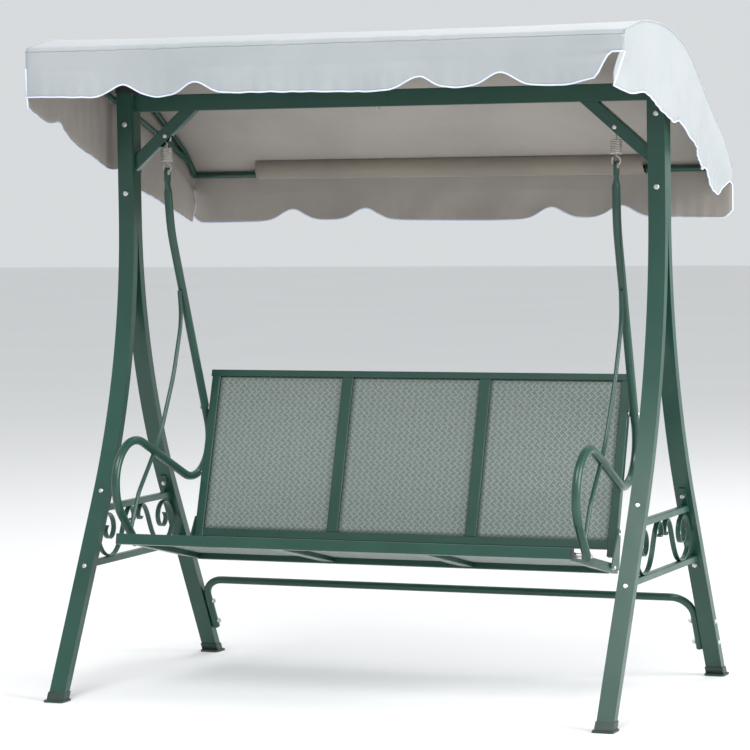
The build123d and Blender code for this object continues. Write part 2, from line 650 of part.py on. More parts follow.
plugs = []
for s in SIDES.values():
    rail_end = Plane(seat_at(s * FRONT_RAIL_HALF, 0, 0), x_dir=seat_plane.y_dir, z_dir=(s, 0, 0))
    plugs.append(plug(rail_end, RAIL_DEPTH, RAIL_HEIGHT))
    top_end = Plane(back_at(s * (back_side_x + 13), back_top_h, 0), x_dir=back_plane.y_dir, z_dir=(s, 0, 0))
    plugs.append(plug(top_end, TOP_RAIL, BACK_RAIL_DEPTH, TOP_RAIL_WALL))
    foot = Plane(back_at(s * back_side_x, back_side_foot, 0), x_dir=(1, 0, 0), z_dir=-back_plane.y_dir)
    plugs.append(plug(foot, BACK_RAIL_WIDTH, BACK_RAIL_DEPTH))
    tail = Plane(seat_at(s * side_x, SEAT_SIDE_END, 0), x_dir=(1, 0, 0), z_dir=seat_plane.y_dir)
    plugs.append(plug(tail, SIDE_RAIL_WIDTH, SIDE_RAIL_HEIGHT))
save("end_plugs", *plugs)


# ---------------------------------------------------------------- canopy frame
def arch_corners():
    """Corners of the canopy's arched side tube, as (Y, Z), from front to rear."""
    return [(-479, 1798), (-345, 1826), (-150, 1822), (40, 1770), (440, 1526), (512, 1449.5)]


ARCH_RADII = [500, 600, 600, 300]
BAR_DROP = 2.0              # the cross bars sit this much below the arch's centre line
END_MARGIN = 6.0            # from the end of the arch to the bolt through it


def arch_path(x):
    return FilletPolyline(*[(x, y, z) for y, z in arch_corners()], radius=ARCH_RADII)


def support_path(x):
    """The nearly straight lower bar of a canopy side, through the pivot."""
    return ThreePointArc((x, -428, 1795), (x, PIVOT_Y, PIVOT_Z), (x, 462, 1497))


arch = arch_path(0)


def arch_at(t):
    """Point and direction on the arch's centre line, in the X = 0 plane."""
    return arch @ t, arch % t


def bar_centre(t, d):
    """Centre of a cross bar: a little below the arch's centre line at parameter t."""
    point, along = arch_at(t)
    point = point + along * d
    return point.Y, point.Z - BAR_DROP


front_bar = bar_centre(0, END_MARGIN)
rear_bar = bar_centre(1, -END_MARGIN)
cross_half = CANOPY_X - CANOPY_TUBE_R - 0.2
corner_bolts = []
for side, s in SIDES.items():
    x = s * CANOPY_X
    side_arch = swept_tube(arch_path(x), CANOPY_TUBE_R, 1.2)
    support = swept_tube(support_path(x), CANOPY_TUBE_R, 1.2)
    path = arch_path(x)
    support -= sweep(Plane(path @ 0, z_dir=path % 0) * Circle(CANOPY_TUBE_R + 0.1), path)
    support = support.solids().sort_by(SortBy.VOLUME)[-1]
    support -= hole((x - 12, PIVOT_Y, PIVOT_Z), (1, 0, 0), 24)
    for y, z in (front_bar, rear_bar):
        head_x = s * (CANOPY_X + CANOPY_TUBE_R + 0.2)
        side_arch -= hole((head_x, y, z), (-s, 0, 0), 20, radius=2.55)
        head = rod((head_x, y, z), (head_x + s * 2.5, y, z), 4.5)
        shank = rod((head_x, y, z), (s * (cross_half - 4), y, z), 2.5)
        insert = rod((s * (cross_half - 3), y, z), (s * (cross_half - 15), y, z), CANOPY_BAR_R - 1.25)
        corner_bolts.append(head + shank + insert)
    save(f"canopy_arch_{side}", side_arch)
    save(f"canopy_support_{side}", support)
for name, (y, z) in (("front", front_bar), ("rear", rear_bar)):
    save(f"canopy_{name}_bar", rod((-cross_half, y, z), (cross_half, y, z), CANOPY_BAR_R, CANOPY_BAR_R - 1.2))
save("canopy_corner_bolts", *corner_bolts)

# the pivot bolts screw into the legs, with a spacer between leg and tube
pivots = []
for s in SIDES.values():
    inner = leg_outer_x - 6
    outer = CANOPY_X + CANOPY_TUBE_R + 0.4
    shank = rod((s * inner, PIVOT_Y, PIVOT_Z), (s * outer, PIVOT_Y, PIVOT_Z), PIVOT_R)
    head = rod((s * outer, PIVOT_Y, PIVOT_Z), (s * (outer + 5), PIVOT_Y, PIVOT_Z), 9)
    spacer = rod((s * leg_outer_x, PIVOT_Y, PIVOT_Z), (s * (leg_outer_x + 3.6), PIVOT_Y, PIVOT_Z), 9)
    pivots.append(shank + head + spacer)
save("canopy_pivot_bolts", *pivots)


# ---------------------------------------------------------------- canopy fabric
FABRIC_LIFT = CANOPY_TUBE_R + 1.2       # from the arch's centre line to the cloth's inner face
BAR_GAP = CANOPY_BAR_R + 3.5            # from a cross bar's centre to the cloth's inner face
FRONT_DROP, REAR_DROP = 128.0, 140.0    # valance hems below the cross bars
FRONT_CRESTS = (-569.0, -352.0, 297.0, 524.0)
REAR_CRESTS = (-520.0, -278.0, 304.0, 520.0)
SIDE_CRESTS = (-215.0, 225.0)
CREST_RISE = 44.0


def cloth_profile(lift):
    """The cloth's side outline, a given distance above the arch, as (Y, Z) points."""
    over = lift - FABRIC_LIFT
    front = [(front_bar[0] + (BAR_GAP + over) * cos(a), front_bar[1] + (BAR_GAP + over) * sin(a))
             for a in (radians(180), radians(155), radians(130))]
    rear = [(rear_bar[0] + (BAR_GAP + over) * cos(a), rear_bar[1] + (BAR_GAP + over) * sin(a))
            for a in (radians(75), radians(50), radians(25), 0)]
    steps = 36
    top = []
    for i in range(steps + 1):
        point, along = arch_at(i / steps)
        top.append((point.Y - along.Z * lift, point.Z + along.Y * lift))
    top = [p for p in top if front[-1][0] + 5 < p[0] < rear[0][0] - 5]
    return front + top + rear


def scalloped(ends, crests, low, rise):
    """Hem points for a valance: flat lobes that rise to rounded crests between them."""
    pts = [(ends[0], low(ends[0]))]
    for c in crests:
        for step, share in ((-72, 0.0), (-38, 0.5), (-16, 0.93), (16, 0.93), (38, 0.5), (72, 0.0)):
            pts.append((c + step, low(c + step) + rise * share))
    pts.append((ends[1], low(ends[1])))
    return pts


def side_low(y):
    """Height of the side valance's hem, parallel to the lower canopy bar and fuller in the middle."""
    chord = PIVOT_Z + (y - PIVOT_Y) * (1497 - 1795) / (462 + 428)
    return chord - 150 - 22 * (1 - (y / 500) ** 2)


def below(hem, plane, depth):
    """The space under a hem line, as a prism that cuts one wall of the cloth."""
    first, last = hem[0], hem[-1]
    ends = [(last[0] + 20, last[1]), (last[0] + 20, 1000), (first[0] - 20, 1000), (first[0] - 20, first[1])]
    return extrude(plane * make_face(Polyline(*hem, *ends, close=True)), depth)


def fabric():
    """Roof and four valances as one shell, cut along the hems."""
    outer, inner = cloth_profile(FABRIC_LIFT + FABRIC), cloth_profile(FABRIC_LIFT)
    half = FABRIC_HALF
    solid = side_prism(outer + [(outer[-1][0], 1100), (outer[0][0], 1100)], -half, half)
    hollow = side_prism(inner + [(inner[-1][0], 1000), (inner[0][0], 1000)], -half + FABRIC, half - FABRIC)
    shell = solid - hollow
    front_y, rear_y = outer[0][0], outer[-1][0]
    front_hem = scalloped((-half, half), FRONT_CRESTS, lambda x: front_bar[1] - FRONT_DROP, CREST_RISE)
    rear_hem = scalloped((-half, half), REAR_CRESTS, lambda x: rear_bar[1] - REAR_DROP, CREST_RISE * 0.8)
    side_hem = scalloped((front_y, rear_y), SIDE_CRESTS, side_low, CREST_RISE * 0.8)
    for hem, y in ((front_hem, front_y + FABRIC + 1), (rear_hem, rear_y + 20)):
        shell -= below(hem, Plane((0, y, 0), x_dir=(1, 0, 0), z_dir=(0, -1, 0)), FABRIC + 21)
    for x in (-half - 20, half - FABRIC - 1):
        shell -= below(side_hem, Plane((x, 0, 0), x_dir=(0, 1, 0), z_dir=(1, 0, 0)), FABRIC + 21)
    return shell


save("canopy_fabric", fabric())
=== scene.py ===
import json
import math
import bpy
import bmesh
from mathutils import Matrix, Vector, noise


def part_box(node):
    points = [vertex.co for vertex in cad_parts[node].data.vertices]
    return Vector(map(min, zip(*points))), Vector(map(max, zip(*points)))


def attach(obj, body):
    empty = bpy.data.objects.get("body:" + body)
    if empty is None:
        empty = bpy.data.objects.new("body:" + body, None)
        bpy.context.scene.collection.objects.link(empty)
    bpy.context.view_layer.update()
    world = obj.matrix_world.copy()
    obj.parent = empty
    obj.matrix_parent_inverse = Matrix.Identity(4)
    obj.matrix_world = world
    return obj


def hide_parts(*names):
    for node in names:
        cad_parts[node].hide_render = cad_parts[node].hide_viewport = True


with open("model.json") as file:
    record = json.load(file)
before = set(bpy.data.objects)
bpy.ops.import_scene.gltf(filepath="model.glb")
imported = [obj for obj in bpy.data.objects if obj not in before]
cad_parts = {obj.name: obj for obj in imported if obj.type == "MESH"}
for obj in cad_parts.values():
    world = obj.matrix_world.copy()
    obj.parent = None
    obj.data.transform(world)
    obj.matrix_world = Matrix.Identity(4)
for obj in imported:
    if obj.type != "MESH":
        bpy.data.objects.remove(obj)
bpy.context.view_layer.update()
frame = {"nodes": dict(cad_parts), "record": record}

NODES = frame["nodes"]
SIDES = {"left": -1, "right": 1}


# ---------------------------------------------------------------- materials
def link_nodes(mat):
    mat.use_nodes = True
    nt = mat.node_tree
    nt.nodes.clear()
    out = nt.nodes.new("ShaderNodeOutputMaterial")
    bsdf = nt.nodes.new("ShaderNodeBsdfPrincipled")
    nt.links.new(bsdf.outputs[0], out.inputs[0])
    return nt, bsdf


def add(nt, kind, **values):
    """A new shader node; keyword values set its input sockets by name."""
    node = nt.nodes.new("ShaderNode" + kind)
    for key, value in values.items():
        node.inputs[key].default_value = value
    return node


def math_node(nt, op, a, b=None):
    """The output of a maths node; each input is a number or another node's output."""
    node = nt.nodes.new("ShaderNodeMath")
    node.operation = op
    for i, v in enumerate((a, b)):
        if v is None:
            continue
        if isinstance(v, (int, float)):
            node.inputs[i].default_value = v
        else:
            nt.links.new(v, node.inputs[i])
    return node.outputs[0]


def noise_of(nt, scale, detail=3.0, rough=0.5):
    """Noise in the object's own coordinates."""
    node = add(nt, "TexNoise", Scale=scale, Detail=detail, Roughness=rough)
    nt.links.new(add(nt, "TexCoord").outputs["Object"], node.inputs["Vector"])
    return node.outputs["Fac"]


def ramp(nt, fac, stops):
    """A colour ramp from (position, colour) stops."""
    node = nt.nodes.new("ShaderNodeValToRGB")
    el = node.color_ramp.elements
    while len(el) < len(stops):
        el.new(0.5)
    for e, (pos, col) in zip(el, stops):
        e.position = pos
        e.color = (*col, 1)
    nt.links.new(fac, node.inputs[0])
    return node.outputs[0]


def bump(nt, bsdf, height, strength, distance):
    node = nt.nodes.new("ShaderNodeBump")
    node.inputs["Strength"].default_value = strength
    node.inputs["Distance"].default_value = distance
    nt.links.new(height, node.inputs["Height"])
    nt.links.new(node.outputs[0], bsdf.inputs["Normal"])


def grey(v):
    return (v, v, v)


def shade(c, k):
    return tuple(min(1.0, v * k) for v in c)


def simple(name, base, rough, metal=0.0, vary=0.15, scale=9.0, grain=900.0, grain_depth=0.00005,
           **sockets):
    """A surface with slow colour drift, roughness smudges and a fine grain."""
    mat = bpy.data.materials.new(name)
    nt, bsdf = link_nodes(mat)
    slow = noise_of(nt, scale, 4)
    drift = ramp(nt, slow, [(0.3, shade(base, 1 - vary)), (0.7, shade(base, 1 + vary))])
    nt.links.new(drift, bsdf.inputs["Base Color"])
    smudge = noise_of(nt, scale * 3.1, 5)
    lo, hi = max(0.02, rough - 0.07), min(1.0, rough + 0.08)
    nt.links.new(ramp(nt, smudge, [(0.3, grey(lo)), (0.7, grey(hi))]), bsdf.inputs["Roughness"])
    bsdf.inputs["Metallic"].default_value = metal
    for key, value in sockets.items():
        bsdf.inputs[key.replace("_", " ")].default_value = value
    bump(nt, bsdf, noise_of(nt, grain, 2), 0.35, grain_depth)
    return mat


GREEN = (0.012, 0.058, 0.041)
paint = simple("green_paint", GREEN, 0.36, vary=0.10, scale=5, grain=420, grain_depth=0.00012,
               Coat_Weight=0.40, Coat_Roughness=0.22, Specular_IOR_Level=0.30)
zinc = simple("zinc_plate", (0.62, 0.63, 0.63), 0.34, metal=1.0, vary=0.08, scale=60)
steel = simple("spring_steel", (0.50, 0.48, 0.45), 0.40, metal=1.0, vary=0.18, scale=90)
black = simple("black_plastic", (0.018, 0.020, 0.019), 0.48, vary=0.12, scale=30, grain=700)
foot_mat = simple("foot_plastic", (0.020, 0.040, 0.033), 0.45, vary=0.12, scale=30, grain=700)
nylon = simple("nylon", (0.62, 0.61, 0.56), 0.42, vary=0.06, scale=50, Subsurface_Weight=0.1)


WEAVE = 1500.0          # of the canopy cloth, in radians for each metre


def cloth_material(name, base, painted_shade, rough):
    """Coated polyester: a slow drift of painted shade, faint creases and a fine crossing weave."""
    mat = bpy.data.materials.new(name)
    nt, bsdf = link_nodes(mat)
    drift = noise_of(nt, 2.2, 5, rough=0.6)
    # painted shade: slow noise patches darken the cloth towards its second, shaded colour
    col = ramp(nt, drift, [(0.32, painted_shade), (0.62, base)])
    nt.links.new(col, bsdf.inputs["Base Color"])
    bsdf.inputs["Roughness"].default_value = rough
    bsdf.inputs["Sheen Weight"].default_value = 0.25
    bsdf.inputs["Sheen Roughness"].default_value = 0.5
    uv = add(nt, "UVMap").outputs[0]
    split = nt.nodes.new("ShaderNodeSeparateXYZ")
    nt.links.new(uv, split.inputs[0])
    warp = math_node(nt, "SINE", math_node(nt, "MULTIPLY", split.outputs[0], WEAVE))
    weft = math_node(nt, "SINE", math_node(nt, "MULTIPLY", split.outputs[1], WEAVE))
    threads = math_node(nt, "MULTIPLY", warp, weft)
    creases = noise_of(nt, 14.0, 6, rough=0.62)
    height = math_node(nt, "ADD", math_node(nt, "MULTIPLY", threads, 0.04), creases)
    bump(nt, bsdf, height, 0.35, 0.004)
    return mat


# the second colour of each cloth is its painted shade, a darker copy of its base
cloth_out = cloth_material("canopy_cloth_outside", (0.355, 0.380, 0.395), (0.305, 0.330, 0.345), 0.52)
cloth_in = cloth_material("canopy_cloth_inside", (0.35, 0.315, 0.285), (0.28, 0.255, 0.23), 0.78)
sleeve_mat = cloth_material("sleeve_cloth", (0.27, 0.235, 0.195), (0.21, 0.185, 0.155), 0.8)
piping_mat = cloth_material("piping", (0.70, 0.76, 0.92), (0.58, 0.64, 0.82), 0.5)


DASH_PITCH = 0.0190     # metres between the lines of the sling's pale pattern
DASH_WIDTH = 0.070      # half a dash's width, as a share of the pitch
DASH_LENGTH = 0.36      # half a dash's length, as a share of two pitches
YARN_PITCH = 0.0022


def mesh_material():
    """Woven sling mesh: grey-green yarn with pale dashes that cross like a parquet."""
    mat = bpy.data.materials.new("sling_mesh")
    nt, bsdf = link_nodes(mat)
    uv = add(nt, "UVMap").outputs[0]
    split = nt.nodes.new("ShaderNodeSeparateXYZ")
    nt.links.new(uv, split.inputs[0])
    u, v = split.outputs[0], split.outputs[1]
    rising = math_node(nt, "DIVIDE", math_node(nt, "ADD", u, v), DASH_PITCH)
    falling = math_node(nt, "DIVIDE", math_node(nt, "SUBTRACT", u, v), DASH_PITCH)

    def dashes(across, along, phase):
        """Thin lines square to one direction, broken every other pitch in the other."""
        near = math_node(nt, "ABSOLUTE", math_node(nt, "SUBTRACT", math_node(nt, "FRACT", across), 0.5))
        line = math_node(nt, "LESS_THAN", near, DASH_WIDTH)
        row = math_node(nt, "MULTIPLY", math_node(nt, "FLOOR", across), 0.5)
        step = math_node(nt, "FRACT", math_node(nt, "ADD", math_node(nt, "MULTIPLY", along, 0.5), row))
        from_middle = math_node(nt, "ABSOLUTE", math_node(nt, "SUBTRACT", step, phase))
        return math_node(nt, "MULTIPLY", line, math_node(nt, "LESS_THAN", from_middle, DASH_LENGTH))

    bar = math_node(nt, "MAXIMUM", dashes(rising, falling, 0.30), dashes(falling, rising, 0.70))
    dark, pale = (0.165, 0.200, 0.185), (0.36, 0.42, 0.39)
    body = ramp(nt, noise_of(nt, 160, 3), [(0.3, shade(dark, 0.82)), (0.7, shade(dark, 1.22))])
    mix = nt.nodes.new("ShaderNodeMix")
    mix.data_type = "RGBA"
    nt.links.new(bar, mix.inputs[0])
    nt.links.new(body, mix.inputs[6])
    mix.inputs[7].default_value = (*pale, 1)
    nt.links.new(mix.outputs[2], bsdf.inputs["Base Color"])
    bsdf.inputs["Roughness"].default_value = 0.50
    yarn = 2 * math.pi / YARN_PITCH
    warp = math_node(nt, "SINE", math_node(nt, "MULTIPLY", u, yarn))
    weft = math_node(nt, "SINE", math_node(nt, "MULTIPLY", v, yarn))
    height = math_node(nt, "ADD", math_node(nt, "MULTIPLY", warp, weft), bar)
    bump(nt, bsdf, height, 0.5, 0.0006)
    return mat


sling_mat = mesh_material()
BY_SLOT = {"green_paint": paint, "zinc": zinc, "bare_steel": steel, "black_plastic": black,
           "foot_plastic": foot_mat, "nylon": nylon, "mesh": sling_mat, "canopy_cloth": cloth_out}
for entry in frame["record"]["subparts"]:
    node = NODES[entry["node"]]
    node.data.materials.clear()
    node.data.materials.append(BY_SLOT[entry["material_slot"]])


# ---------------------------------------------------------------- mesh helpers
def new_object(name, bm, mats, smooth=True):
    mesh = bpy.data.meshes.new(name)
    bm.to_mesh(mesh)
    bm.free()
    obj = bpy.data.objects.new(name, mesh)
    bpy.context.scene.collection.objects.link(obj)
    for m in mats:
        mesh.materials.append(m)
    for p in mesh.polygons:
        p.use_smooth = smooth
    return obj


def grid(bm, uv_layer, rows, uvs):
    """Quads over rows of points, with one UV in metres for each point."""
    verts = [[bm.verts.new(p) for p in row] for row in rows]
    for i in range(len(rows) - 1):
        for j in range(len(rows[0]) - 1):
            corners = [(i, j), (i, j + 1), (i + 1, j + 1), (i + 1, j)]
            face = bm.faces.new([verts[a][b] for a, b in corners])
            for loop, (a, b) in zip(face.loops, corners):
                loop[uv_layer].uv = uvs[a][b]


def thicken(obj, thickness, inner_slot=0, offset=-1.0):
    """Gives a sheet its thickness: inwards with offset -1, to both sides with offset 0."""
    mod = obj.modifiers.new("thickness", "SOLIDIFY")
    mod.thickness = thickness
    mod.offset = offset
    mod.material_offset = inner_slot


def tube(name, points, radius, mat):
    """A round tube along points, as a curve."""
    curve = bpy.data.curves.new(name, "CURVE")
    curve.dimensions = "3D"
    curve.bevel_depth = radius
    curve.bevel_resolution = 3
    spline = curve.splines.new("POLY")
    spline.points.add(len(points) - 1)
    for p, co in zip(spline.points, points):
        p.co = (*co, 1)
    curve.materials.append(mat)
    obj = bpy.data.objects.new(name, curve)
    bpy.context.scene.collection.objects.link(obj)
    return obj


# ---------------------------------------------------------------- canopy cover
LO, HI = (Vector(v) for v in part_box("canopy_fabric"))
HALF = HI.x
FRONT_Y, REAR_Y = LO.y, HI.y


def cad_profile():
    """The cover's side outline from front to rear, read off the CAD cloth's outer edge."""
    best = {}
    for v in NODES["canopy_fabric"].data.vertices:
        if v.co.x > HALF - 0.0005:
            key = round(v.co.y, 4)
            best[key] = max(best.get(key, -1), v.co.z)
    pts = sorted(best.items())
    front_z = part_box("canopy_front_bar")[0][2]
    rear_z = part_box("canopy_rear_bar")[0][2]

    def bar_line(y):
        """Height of the straight line between the undersides of the two cross bars."""
        return front_z + (rear_z - front_z) * (y - FRONT_Y) / (REAR_Y - FRONT_Y)

    # the roof's points only: the hem's points are far below that line
    return [(y, z) for y, z in pts if z > bar_line(y) - 0.004]


PROFILE = cad_profile()
lengths = [0.0]
for (y0, z0), (y1, z1) in zip(PROFILE, PROFILE[1:]):
    lengths.append(lengths[-1] + math.hypot(y1 - y0, z1 - z0))
ROOF_LENGTH = lengths[-1]


def on_profile(s):
    """Point on the outline at a distance from its front end."""
    for i in range(len(PROFILE) - 1):
        if s <= lengths[i + 1] or i == len(PROFILE) - 2:
            t = (s - lengths[i]) / max(1e-9, lengths[i + 1] - lengths[i])
            (y0, z0), (y1, z1) = PROFILE[i], PROFILE[i + 1]
            return y0 + (y1 - y0) * t, z0 + (z1 - z0) * t


def smooth_on_profile(s, reach=0.02):
    """The outline with its polygon corners rounded off."""
    if s < 1e-6 or s > ROOF_LENGTH - 1e-6:
        return on_profile(min(max(s, 0.0), ROOF_LENGTH))
    reach = min(reach, s, ROOF_LENGTH - s)
    pts = [on_profile(s + reach * k / 2) for k in (-2, -1, 0, 1, 2)]
    w = (1, 2, 3, 2, 1)
    return tuple(sum(p[i] * k for p, k in zip(pts, w)) / sum(w) for i in (0, 1))


SLIT = 0.046            # the corner seams are closed down to here
FRONT_DROP, REAR_DROP = 0.128, 0.140
CREST, CREST_HALF = 0.034, 0.050                # height and half-width of the notch between two lobes
FRONT_CRESTS = (-0.569, -0.352, 0.297, 0.524)
REAR_CRESTS = (-0.520, -0.278, 0.304, 0.520)
SIDE_CRESTS = {"left": (-0.290, 0.080), "right": (-0.020, 0.340)}
SIDE_DROP = {"left": 0.178, "right": 0.112}     # hems below the line of the support bars
COVER_THICKNESS, SLEEVE_THICKNESS, SLING_THICKNESS = 0.0012, 0.001, 0.0014
PIPING_RADIUS, SEAM_RADIUS = 0.0022, 0.0016


def humps(u, centres, width):
    return sum(math.exp(-((u - c) / width) ** 2) for c in centres)


def smoothstep(t):
    t = min(1.0, max(0.0, t))
    return t * t * (3 - 2 * t)


def front_depth(x):
    """Full depth at the left end; turned up and folded in at the right end."""
    gap = HALF - x
    share = 0.78 * smoothstep((gap - 0.03) / 0.05) + 0.22 * smoothstep((gap - 0.06) / 0.11)
    full = FRONT_DROP + 0.003 * math.sin(x * 9) - CREST * humps(x, FRONT_CRESTS, CREST_HALF)
    return SLIT + (full - SLIT) * share


def rear_depth(x):
    rounding = 0.030 * smoothstep(1 - (HALF - abs(x)) / 0.05) ** 2
    full = REAR_DROP + 0.003 * math.sin(x * 7 + 1) - CREST * humps(x, REAR_CRESTS, CREST_HALF)
    return full - rounding


def side_hem(y, side):
    """Height of a side valance's hem: it follows the support bar, and the left side hangs lower."""
    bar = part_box(f"canopy_support_{side}")
    slope = (bar[0][2] - bar[1][2]) / (bar[1][1] - bar[0][1])
    level = bar[1][2] + slope * (y - bar[0][1])
    front_extra = 0.045 * smoothstep((-0.30 - y) / 0.15) if side == "right" else 0.0
    notches = CREST * 0.9 * humps(y, SIDE_CRESTS[side], CREST_HALF)
    return level - SIDE_DROP[side] - front_extra + notches


def side_depth(s, side):
    y, z = smooth_on_profile(s)
    cut = smoothstep((ROOF_LENGTH - s) / 0.09)
    full = max(SLIT + 0.01, z - side_hem(y, side))
    return SLIT + (full - SLIT) * cut


def wave(u, seed, d):
    """Outward swell of a hanging valance at depth d: broad folds and short hem puckers."""
    broad = 0.5 + noise.noise((u * 3.2, seed, 0.3)) + 0.60 * noise.noise((u * 9.0 + d * 5, seed, 2.2))
    puckers = math.sin(u * 150 + 6 * noise.noise((u * 5, seed, 1.7)))
    hem = smoothstep((d - 0.05) / 0.08)
    return 0.016 * broad * smoothstep(d / 0.12) + 0.0012 * puckers * hem


def tuck(side, run, d):
    """How far a side valance turns in under the frame: at its front end and all along the rear."""
    front = 0.034 * math.exp(-(run / 0.10) ** 2) * smoothstep(d / 0.11)
    rear = 0.030 * smoothstep((run / ROOF_LENGTH - 0.50) / 0.40) * smoothstep((d - 0.03) / 0.09)
    return front * (1.0 if side == "right" else 0.2) + rear


XS = [-HALF + 2 * HALF * i / 150 for i in range(151)]
SS = [ROOF_LENGTH * i / 96 for i in range(97)]
CLOSED_ROWS, HANG_ROWS = 5, 12


def fall(depth):
    """Depths of a valance's rows: even down the closed seam, then even to the hem."""
    closed = [SLIT * k / CLOSED_ROWS for k in range(CLOSED_ROWS + 1)]
    return closed + [SLIT + (depth - SLIT) * k / HANG_ROWS for k in range(1, HANG_ROWS + 1)]


def half_width(s):
    """The cover is cut a little narrower towards the rear."""
    return HALF + 0.004 - 0.015 * smoothstep((s / ROOF_LENGTH - 0.45) / 0.40)


def roof_point(x, s):
    """A point of the roof: the outline with a sag, ripples and pulls at the front edge."""
    y, z = smooth_on_profile(s)
    inside = 1 - min(1.0, abs(x) / HALF) ** 4
    along = math.sin(math.pi * min(1.0, max(0.0, s / ROOF_LENGTH)))
    sag = 0.010 * inside * along
    ripple = 0.0045 * noise.noise((x * 4.0, s * 7.0, 2.0)) * inside * along
    draw = 0.004 * noise.noise((x * 16.0, s * 3.0, 5.0)) * inside * math.exp(-s / 0.12)
    return x * half_width(s) / HALF, y, z - sag + ripple - abs(draw)


def end_fade(distance, d):
    """Stills a valance's swell towards its end: fully where it is sewn, partly beside the slit."""
    if d > SLIT:
        return smoothstep(distance / 0.05) * 0.8 + 0.2 * smoothstep((d - SLIT) / 0.03)
    return smoothstep(distance / 0.05)


def valance(points, depth_of, out, seed, flip, side=None):
    """A strip that hangs from top points (position, run); out is its outward direction.

    Returns the rows of points, their UVs and the points of the hem.
    """
    rows, uvs, hem = [], [], []
    total = points[-1][1]
    for p, run in points:
        column, uv_column = [], []
        for d in fall(depth_of(p, run)):
            swell = wave(run + seed, seed, d) * end_fade(min(run, total - run), d)
            lean = 0.006 * smoothstep(d / 0.15) * smoothstep(min(run, total - run) / 0.1)
            if side:
                lean += tuck(side, run, d)
            column.append(Vector(p) + out * (swell - lean) - Vector((0, 0, d)))
            uv_column.append((run + seed, d))
        rows.append(column[::-1] if flip else column)
        uvs.append(uv_column[::-1] if flip else uv_column)
        hem.append(column[-1])
    return rows, uvs, hem


bm = bmesh.new()
uv_layer = bm.loops.layers.uv.new("UVMap")
roof_rows = [[roof_point(x, s) for x in XS] for s in SS]
roof_uvs = [[(x, s) for x in XS] for s in SS]
grid(bm, uv_layer, roof_rows, roof_uvs)
front_top = [(roof_rows[0][i], XS[i] + HALF) for i in range(len(XS))]
rear_top = [(roof_rows[-1][i], XS[i] + HALF) for i in range(len(XS))]
hems = {}
rows, uvs, hems["front"] = valance(front_top, lambda p, r: front_depth(p[0]), Vector((0, -1, 0)),
                                   0.0, False)
grid(bm, uv_layer, rows, uvs)
rows, uvs, hems["rear"] = valance(rear_top, lambda p, r: rear_depth(p[0]), Vector((0, 1, 0)), 3.0, True)
grid(bm, uv_layer, rows, uvs)
for side, s in SIDES.items():
    column = -1 if s > 0 else 0
    top = [(roof_rows[i][column], SS[i]) for i in range(len(SS))]
    rows, uvs, hems[side] = valance(top, lambda p, r, side=side: side_depth(r, side), Vector((s, 0, 0)),
                                    7.0 + s, s < 0, side)
    grid(bm, uv_layer, rows, uvs)
bmesh.ops.remove_doubles(bm, verts=bm.verts, dist=0.0002)
bmesh.ops.dissolve_degenerate(bm, edges=bm.edges, dist=0.00005)
bmesh.ops.recalc_face_normals(bm, faces=bm.faces)
cover_area = sum(f.calc_area() for f in bm.faces)
cover = new_object("canopy_cover", bm, [cloth_out, cloth_in])
# the outside of the roof has to face up
roof_faces = [p for p in cover.data.polygons if abs(p.center.x) < 0.5 and p.center.z > 1.7]
if sum(p.normal.z for p in roof_faces) < 0:
    cover.data.flip_normals()
thicken(cover, COVER_THICKNESS, inner_slot=1)
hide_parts("canopy_fabric")
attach(cover, "canopy")


def edging(name, points, radius, mat):
    """A thin round edge sewn to the cover."""
    obj = tube(name, [tuple(p) for p in points], radius, mat)
    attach(obj, "canopy")


def piping(name, hem):
    """The pale binding along a hem."""
    edging(name, hem, PIPING_RADIUS, piping_mat)


def seam(name, points):
    """The ridge where the roof is sewn to a valance."""
    edging(name, points, SEAM_RADIUS, cloth_out)


def slit_edge(corner_top, hem_end, steps=8):
    """The bound edge of a valance's free end, from the top of the slit down to its hem."""
    top = Vector(corner_top) - Vector((0, 0, SLIT))
    return [top.lerp(hem_end, k / steps) for k in range(steps)]


piping("piping_front", hems["front"])
piping("piping_rear", slit_edge(rear_top[0][0], hems["rear"][0]) + hems["rear"]
       + slit_edge(rear_top[-1][0], hems["rear"][-1])[::-1])
seam("seam_front", roof_rows[0])
seam("seam_rear", roof_rows[-1])
for side, s in SIDES.items():
    edge = -1 if s > 0 else 0
    piping(f"piping_{side}", slit_edge(roof_rows[0][edge], hems[side][0]) + hems[side])
    seam(f"seam_{side}", [row[edge] for row in roof_rows])


# ---------------------------------------------------------------- sleeve on the rear bar
SLEEVE_ENDS = (-0.62, 0.60)
SLEEVE_STEPS = 60


def sleeve():
    """The sewn sleeve that holds the rear bar, open at both ends."""
    lo, hi = (Vector(v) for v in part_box("canopy_rear_bar"))
    cy, cz, r = (lo.y + hi.y) / 2, (lo.z + hi.z) / 2, (hi.z - lo.z) / 2
    roof_y, roof_z = smooth_on_profile(ROOF_LENGTH - 0.062)
    path = [(roof_y - 0.002, roof_z - 0.004), (cy - 0.034, cz + 0.012), (cy - 0.022, cz - 0.006),
            (cy - 0.010, cz - r - 0.003), (cy + 0.001, cz - r - 0.0045), (cy + 0.010, cz - r + 0.001)]
    x0, x1 = SLEEVE_ENDS
    bm = bmesh.new()
    layer = bm.loops.layers.uv.new("UVMap")
    rows, uvs = [], []
    for i in range(SLEEVE_STEPS + 1):
        x = x0 + (x1 - x0) * i / SLEEVE_STEPS
        row, uv, run = [], [], 0.0
        for k, (y, z) in enumerate(path):
            sag = 0.002 * noise.noise((x * 9, k * 0.7, 4.0)) * (1 if 0 < k < 4 else 0)
            row.append((x, y + sag, z + sag))
            uv.append((x, run))
            run += 0.02
        rows.append(row)
        uvs.append(uv)
    grid(bm, layer, rows, uvs)
    bmesh.ops.recalc_face_normals(bm, faces=bm.faces)
    obj = new_object("rear_bar_sleeve", bm, [sleeve_mat])
    thicken(obj, SLEEVE_THICKNESS)
    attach(obj, "canopy")


sleeve()


